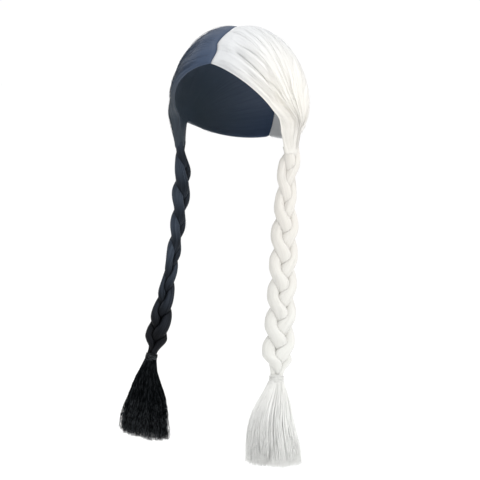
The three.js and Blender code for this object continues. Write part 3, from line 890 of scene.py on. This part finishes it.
def tuft_frame(half, down):
    at = plait_frame(half, np.array(1.0))
    straight = np.array([0.0, 0, -1])
    turned = TUFT_HANG * down**2 / 2
    middle = (
        at["middle"]
        + at["tangent"] * (GAP / 2 + TUFT_LENGTH * (down - turned))[..., None]
        + straight * (TUFT_LENGTH * turned)[..., None]
    )
    sway = half["tuft_sway"] * np.sin(np.pi * down) ** 3
    middle = middle + np.array([1, 0, 0]) * sway[..., None]
    slope = unit(lerp(at["tangent"], straight, np.clip(TUFT_HANG * down, 0, 1)[..., None]))
    return hanging_frame(middle, slope, np.full_like(down, half["facing"][1]))


def tuft_envelope(half, down):
    grip = GRIP_LENGTH / TUFT_LENGTH
    bound = bound_radius(half)
    below = np.clip((down - grip) / (1 - grip), 0, 1)
    spread = np.sin(below ** half["tuft_fullness"] * np.pi / 2)
    width = lerp(bound, half["tuft_width"] / 2, spread)
    depth = lerp(bound, TUFT_THICKNESS / 2, spread)
    return width, depth


def furrow_and_dim(half, place, t):
    """How far hairs sink into the furrow, and how much painted shade darkens them beside it."""
    beside = (place[..., 0] - FURROW["across"] * (t - FURROW["at"])) / FURROW["width"]
    facing = smoothstep(place[..., 1], *FURROW["front"])
    profile = np.exp(-((beside - FURROW["centre"]) ** 2))
    sunk = half["furrow"] * facing * smoothstep(t, *FURROW["sinks"]) * profile
    beyond = smoothstep(beside, *FURROW["dims_beside"])
    dim = half["tuft_painted_shade"] * facing * beyond * smoothstep(t, *FURROW["dims"])
    return sunk, dim


def disc_places(turn, out):
    return np.stack([np.cos(turn), np.sin(turn)], -1) * out[:, None]


def tuft_hairs(half, seed):
    """Loose hairs from the middle of the tie to the cut ends, in clumps."""
    own = TUFT_HAIR
    rng = np.random.default_rng(seed)
    turn = rng.uniform(0, 2 * np.pi, TUFT_CLUMPS)
    clump_places = disc_places(turn, np.sqrt(rng.uniform(0, 1, TUFT_CLUMPS)))
    stray = rng.normal(0, own["stray"] * half["tuft_pull"], (TUFT_CLUMPS, 2))
    turn = rng.uniform(0, 2 * np.pi, TUFT_HAIRS)
    start = disc_places(turn, rng.uniform(0, 1, TUFT_HAIRS) ** own["outward_power"])
    clump = np.argmin(((start[:, None] - clump_places) ** 2).sum(-1), 1)
    t = np.linspace(0, 1, TUFT_STATIONS) ** own["station_power"]
    short = own["short_clump"] * rng.uniform(0, 1, TUFT_CLUMPS)[clump]
    short = short + own["short_hair"] * rng.uniform(0, 1, TUFT_HAIRS) ** 3
    down = (1 - short - CUT_SLANT * start[:, 0])[:, None] * t
    opened = 1 - own["opens_by"] * smoothstep(t, *own["opens"])
    pull = half["tuft_pull"] * smoothstep(t, *own["gathers"]) * opened
    place = lerp(start[:, None], clump_places[clump][:, None], pull[None, :, None])
    place = place + stray[clump][:, None] * (t ** own["stray_power"])[:, None]
    fray = rng.normal(0, half["tuft_fray"], (TUFT_HAIRS, 1, 2))
    fray = fray * (t ** own["fray_power"])[:, None]
    cycles = rng.uniform(*own["waves"], (TUFT_HAIRS, 1))
    begins = rng.uniform(0, 1, (TUFT_HAIRS, 1))
    wave = half["tuft_wave"] * np.sin(2 * np.pi * (t * cycles + begins)) * t
    wave = wave[..., None] * np.array([1, own["wave_deep"]])
    place = place * own["packing"] + fray + wave
    sunk, dim = furrow_and_dim(half, place, t)
    place[..., 1] = place[..., 1] * (1 - sunk)
    width, depth = tuft_envelope(half, down)
    at = tuft_frame(half, down)
    paths = (
        at["middle"]
        + at["across"] * (place[..., 0] * width)[..., None]
        + at["out"] * (place[..., 1] * depth)[..., None]
    )
    thickness = rng.uniform(*own["thickness"], (TUFT_HAIRS, 1))
    radii = TUFT_RADIUS * (1 - own["taper"] * t**2) * thickness
    tones = rng.uniform(0, TUFT_TONES, TUFT_HAIRS)
    # Painted shade in the furrow and beside it.
    shade = (1 - FURROW["shade"] * sunk) * (1 - dim)
    return hair_part(paths, radii, tones, down * TUFT_LENGTH, shade)


def tuft_core(half, seed):
    """Packed hair in the middle of the tuft, under the loose ones."""
    down = np.linspace(GAP / TUFT_LENGTH, CORE["end"], CORE_ROWS)
    turns = 2 * np.pi * np.arange(CORE_SIDES) / CORE_SIDES
    width, depth = tuft_envelope(half, down)
    neck = lerp(CORE["bound"], CORE["neck"], smoothstep(down, *CORE["neck_at"]))
    shrink = lerp(neck, CORE["tip"], smoothstep(down, CORE["neck_at"][1], CORE["end"]))
    around, along = CORE["ridges"]
    uneven = CORE["ridge"] * noise(turns[None] * around, down[:, None] * along, seed)
    ridge = 1 + uneven * smoothstep(down, *CORE["ridges_grow"])[:, None]
    x = (width * shrink)[:, None] * np.cos(turns) * ridge
    y = (depth * shrink)[:, None] * np.sin(turns) * ridge
    fibre = turns / (2 * np.pi) * CORE_FIBRES
    uv = np.stack(np.broadcast_arrays(fibre, (down * TUFT_LENGTH)[:, None]), -1)
    return ring_part(frame_point(tuft_frame(half, down), x, y), uv)


# Materials.


# Coarse and fine streaks a millimetre across the hair, how much longer the coarse ones are, the
# share of the fine ones in the tone, and how deep they are in metres.
COARSE_STREAKS, FINE_STREAKS, COARSE_LONGER, FINE_SHARE = 0.55, 3.2, 2.5, 0.5
STREAK_DETAIL, STREAK_DEPTH = 3, 0.0004

# Light scatters in the white hair over this reach in metres.
SCATTER_REACH = 0.004


def node(tree, kind, **values):
    made = tree.nodes.new(kind)
    for name, value in values.items():
        setattr(made, name, value)
    return made


def ranged(tree, value, low, high):
    """Output of a node that turns a range of values into shares from 0 to 1, smoothly."""
    made = node(tree, "ShaderNodeMapRange", interpolation_type="SMOOTHSTEP")
    made.inputs["From Min"].default_value = low
    made.inputs["From Max"].default_value = high
    tree.links.new(value, made.inputs["Value"])
    return made.outputs["Result"]


def streaks(tree, flow, across, lengthways):
    """Output of noise over the flow, so many streaks a millimetre across and along the hair."""
    mapping = node(tree, "ShaderNodeMapping")
    mapping.inputs["Scale"].default_value = (across, lengthways, 1)
    pattern = node(tree, "ShaderNodeTexNoise", noise_dimensions="2D")
    pattern.inputs["Scale"].default_value = 1
    pattern.inputs["Detail"].default_value = STREAK_DETAIL
    tree.links.new(flow.outputs[0], mapping.inputs["Vector"])
    tree.links.new(mapping.outputs[0], pattern.inputs["Vector"])
    return pattern.outputs["Fac"]


def fibre_colour(tree, streak, reached, first, last):
    """Output of the colour: two tones in streaks, changing along the hair, times its painted shade
    and light.
    """
    tones = []
    for start, end in zip(first, last):
        tone = node(tree, "ShaderNodeMix", data_type="RGBA")
        tone.inputs["A"].default_value = (*start, 1)
        tone.inputs["B"].default_value = (*end, 1)
        tree.links.new(reached, tone.inputs["Factor"])
        tones.append(tone)
    base = node(tree, "ShaderNodeMix", data_type="RGBA")
    tree.links.new(streak, base.inputs["Factor"])
    tree.links.new(tones[0].outputs["Result"], base.inputs["A"])
    tree.links.new(tones[1].outputs["Result"], base.inputs["B"])
    shade = node(tree, "ShaderNodeAttribute", attribute_name="shade")
    shaded = node(tree, "ShaderNodeVectorMath", operation="SCALE")
    tree.links.new(base.outputs["Result"], shaded.inputs[0])
    tree.links.new(shade.outputs["Fac"], shaded.inputs["Scale"])
    return shaded.outputs[0]


def hair_material(name, first, last, length, gloss):
    """Fine fibres along the hair in two tones, which change over its length in millimetres."""
    material = bpy.data.materials.new(name)
    material.use_nodes = True
    tree = material.node_tree
    shader = tree.nodes["Principled BSDF"]
    shader.inputs["Roughness"].default_value = gloss["roughness"]
    shader.inputs["Specular IOR Level"].default_value = gloss["specular"]
    shader.inputs["Anisotropic"].default_value = gloss["anisotropic"]
    shader.inputs["Subsurface Weight"].default_value = gloss["scatter"]
    shader.inputs["Subsurface Radius"].default_value = (1, 1, 1)
    shader.inputs["Subsurface Scale"].default_value = SCATTER_REACH
    flow = node(tree, "ShaderNodeUVMap", uv_map="flow")
    tangent = node(tree, "ShaderNodeTangent", direction_type="UV_MAP", uv_map="flow")
    tree.links.new(tangent.outputs[0], shader.inputs["Tangent"])
    coarse = streaks(tree, flow, COARSE_STREAKS, gloss["lengthways"] / COARSE_LONGER)
    fine = streaks(tree, flow, FINE_STREAKS, gloss["lengthways"])
    mixed = node(tree, "ShaderNodeMix", data_type="FLOAT")
    mixed.inputs["Factor"].default_value = FINE_SHARE
    tree.links.new(coarse, mixed.inputs["A"])
    tree.links.new(fine, mixed.inputs["B"])
    streak = ranged(tree, mixed.outputs[0], *gloss["streaks"])
    place = node(tree, "ShaderNodeSeparateXYZ")
    tree.links.new(flow.outputs[0], place.inputs[0])
    reached = ranged(tree, place.outputs["Y"], *length)
    colour = fibre_colour(tree, streak, reached, first, last)
    tree.links.new(colour, shader.inputs["Base Color"])
    relief = node(tree, "ShaderNodeBump")
    relief.inputs["Strength"].default_value = gloss["bump"]
    relief.inputs["Distance"].default_value = STREAK_DEPTH
    tree.links.new(fine, relief.inputs["Height"])
    tree.links.new(relief.outputs[0], shader.inputs["Normal"])
    return material


def plain_material(name, colour, roughness):
    material = bpy.data.materials.new(name)
    material.use_nodes = True
    shader = material.node_tree.nodes["Principled BSDF"]
    shader.inputs["Base Color"].default_value = (*colour, 1)
    shader.inputs["Roughness"].default_value = roughness
    return material


# Gloss of each kind of hair.
LAID = {
    "roughness": 0.42,
    "specular": 0.3,
    "anisotropic": 0.6,
    "bump": 0.35,
    "streaks": (0.3, 0.7),
    "lengthways": 0.03,
    "scatter": 0,
}
WHITE_HAIR = {**LAID, "roughness": 0.55, "anisotropic": 0.5, "bump": 0.12, "scatter": 0.5}
# The plait has little real gloss: its highlights are painted in its lighter tone.
PLAITED = {**LAID, "specular": 0.06, "bump": 0.6, "streaks": (0.35, 0.7)}
LOOSE_WHITE = {**WHITE_HAIR, "bump": 0.1, "scatter": 0}
# The loose hair has little real gloss: its highlights are painted in its lighter tone.
LOOSE = {
    **LAID,
    "specular": 0.02,
    "anisotropic": 0.3,
    "streaks": (0.48, 0.66),
    "lengthways": 0.14,
}

# The ties have the same darker and lighter tone all the way.
# The dark thread's lighter tone is painted highlight.
DARK_THREAD = ((0.002, 0.0025, 0.003), (0.1, 0.11, 0.12))
WHITE_THREAD = ((0.66, 0.66, 0.63), (0.78, 0.78, 0.75))

# Each material's darker and lighter tone, first where the hair starts, then where it ends, the
# reach in millimetres between which it changes, and its gloss.
TONES = {
    # Painted sheen: the dark hair is lighter and bluer at the crown, partly its own slate colour
    # and partly sheen from the light above; it darkens towards the root.
    "hair_dark": (
        ((0.030, 0.050, 0.094), (0.042, 0.066, 0.116)),
        ((0.018, 0.029, 0.043), (0.028, 0.041, 0.056)),
        (0, 130),
        LAID,
    ),
    # Painted highlights on the strand crests in the lighter tone, and painted shade as the plait
    # darkens towards the tie.
    "strand_dark": (
        ((0.013, 0.018, 0.027), (0.036, 0.045, 0.060)),
        ((0.0012, 0.0015, 0.002), (0.010, 0.011, 0.014)),
        (125, 258),
        PLAITED,
    ),
    "tie_dark": (DARK_THREAD, DARK_THREAD, (0, 1), LOOSE),
    # Painted highlights on the loose dark hair in the lighter tone, brighter towards the cut ends.
    "tuft_dark": (
        ((0.001, 0.0015, 0.002), (0.03, 0.034, 0.038)),
        ((0.001, 0.0015, 0.002), (0.1, 0.11, 0.12)),
        (40, 104),
        LOOSE,
    ),
    # Painted light: the white hair is darker and cooler at the parting and lighter and warmer
    # towards the root, on the side where the light falls.
    "hair_white": (
        ((0.58, 0.59, 0.60), (0.62, 0.63, 0.64)),
        ((0.79, 0.77, 0.725), (0.83, 0.81, 0.765)),
        (15, 130),
        WHITE_HAIR,
    ),
    "strand_white": (
        ((0.63, 0.61, 0.57), (0.69, 0.67, 0.63)),
        ((0.64, 0.64, 0.61), (0.70, 0.70, 0.67)),
        (60, 270),
        WHITE_HAIR,
    ),
    "tie_white": (WHITE_THREAD, WHITE_THREAD, (0, 1), WHITE_HAIR),
    # Painted light: the white tuft is lighter towards the cut ends, making up for the shade
    # between its loose hairs, and darker at the tie, where the key light falls.
    "tuft_white": (
        ((0.80, 0.80, 0.775), (0.86, 0.86, 0.835)),
        ((0.93, 0.935, 0.915), (0.98, 0.985, 0.965)),
        (5, 50),
        LOOSE_WHITE,
    ),
}
MATERIALS = {name: hair_material(name, *row) for name, row in TONES.items()}


def stand_in(piece, cad_node):
    """Let a piece take a CAD node's place, and ride on the only body."""
    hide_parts(cad_node)
    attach(piece, "root")


# What is added to a half's seed for each kind of piece.
SEEDS = {"laid": 20, "strand": 30, "tie": 40, "core": 50, "tuft": 51}

for half, seed in ((DARK, 100), (WHITE, 200)):
    name = half["name"]
    made = {
        f"hair_{name}": [hair_half(half, seed), laid_hairs(half, seed + SEEDS["laid"])],
        f"tie_{name}": [wound_tie(half, seed + SEEDS["tie"])],
        f"tuft_{name}": [
            tuft_core(half, seed + SEEDS["core"]),
            tuft_hairs(half, seed + SEEDS["tuft"]),
        ],
    }
    for key, parts in made.items():
        stand_in(new_piece(f"{key}_look", parts, MATERIALS[key]), key)
    for strand in range(3):
        key = f"strand_{name}_{strand + 1}"
        own = (half, strand, seed + SEEDS["strand"] + strand)
        parts = [plait_strand(*own), strand_hairs(*own)]
        piece = new_piece(f"{key}_look", parts, MATERIALS[f"strand_{name}"])
        stand_in(piece, key)

# Stage, light and camera: places and sizes in metres, power in watts, angles in degrees.
FLOOR_HEIGHT, FLOOR_SIZE, FLOOR_TONE = -1.0, 60, (0.98, 0.98, 0.98)
WORLD_TONE, WORLD_STRENGTH = (1, 1, 1), 1.03
WIG_MIDDLE = (0, 0, -0.25)
LIGHTS = {
    "key": {"place": (1.5, -0.7, 0.8), "size": 1.2, "watts": 14},
    "top": {"place": (0.1, 0.2, 1.5), "size": 0.9, "watts": 4},
}
CAMERA_PLACE = (0.5894, -1.0633, -0.0378)
CAMERA_AZIMUTH, CAMERA_PITCH = 29, 10.58
CAMERA_LENS, CAMERA_SENSOR = 72, 36

bpy.ops.mesh.primitive_plane_add(size=FLOOR_SIZE, location=(0, 0, FLOOR_HEIGHT))
floor = bpy.context.object
floor.name = "floor"
floor.data.materials.append(plain_material("floor_white", FLOOR_TONE, 1))

world = bpy.data.worlds.new("studio")
world.use_nodes = True
background = world.node_tree.nodes["Background"]
background.inputs["Color"].default_value = (*WORLD_TONE, 1)
background.inputs["Strength"].default_value = WORLD_STRENGTH
bpy.context.scene.world = world

for name, row in LIGHTS.items():
    light_data = bpy.data.lights.new(name, "AREA")
    light_data.size = row["size"]
    light_data.energy = row["watts"]
    light = bpy.data.objects.new(name, light_data)
    light.location = row["place"]
    way = Vector(WIG_MIDDLE) - Vector(row["place"])
    light.rotation_euler = way.to_track_quat("-Z", "Y").to_euler()
    bpy.context.scene.collection.objects.link(light)

camera_data = bpy.data.cameras.new("camera")
camera_data.lens = CAMERA_LENS
camera_data.sensor_width = CAMERA_SENSOR
camera = bpy.data.objects.new("camera", camera_data)
camera.location = CAMERA_PLACE
azimuth, pitch = np.radians(CAMERA_AZIMUTH), np.radians(CAMERA_PITCH)
look = (-np.sin(azimuth) * np.cos(pitch), np.cos(azimuth) * np.cos(pitch), -np.sin(pitch))
camera.rotation_euler = Vector(look).to_track_quat("-Z", "Y").to_euler()
bpy.context.scene.collection.objects.link(camera)
bpy.context.scene.camera = camera
bpy.context.scene.view_settings.view_transform = "Standard"
